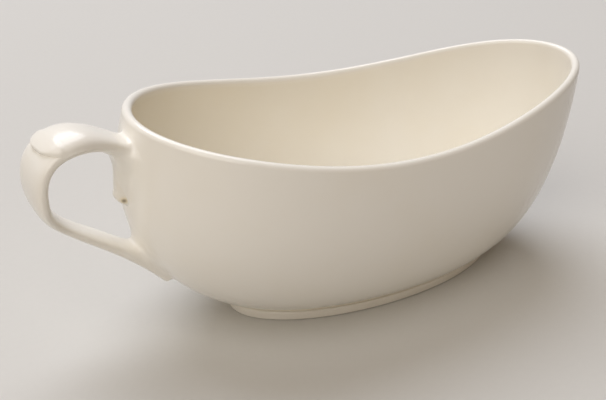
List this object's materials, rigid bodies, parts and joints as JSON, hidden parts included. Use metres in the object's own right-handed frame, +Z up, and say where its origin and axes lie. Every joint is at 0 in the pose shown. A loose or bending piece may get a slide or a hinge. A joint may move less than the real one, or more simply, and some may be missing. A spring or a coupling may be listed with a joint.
{
  "type": "bourdaloue",
  "caption": "Boat-shaped oval hand-held vessel of cream glazed earthenware, on a low foot ring, with a loop handle and thumb rest at one end.",
  "frame": {"origin": "on the table, under the middle of the whole length and width", "axes": "+X from the handle to the front end, +Z up, +Y to the left of someone who looks along +X"},
  "size_m": [0.257, 0.11, 0.0983],
  "materials": {
    "glazed_body": "gloss",
    "glazed_slip": "gloss"
  },
  "bodies": {
    "root": {"bowl": "glazed_body", "foot_ring": "glazed_body", "foot_joint_slip": "glazed_slip", "handle_strap": "glazed_body", "thumb_rest": "glazed_body", "upper_tail": "glazed_body", "upper_joint_slip": "glazed_slip", "lower_joint_slip": "glazed_slip"}
  },
  "joints": []
}
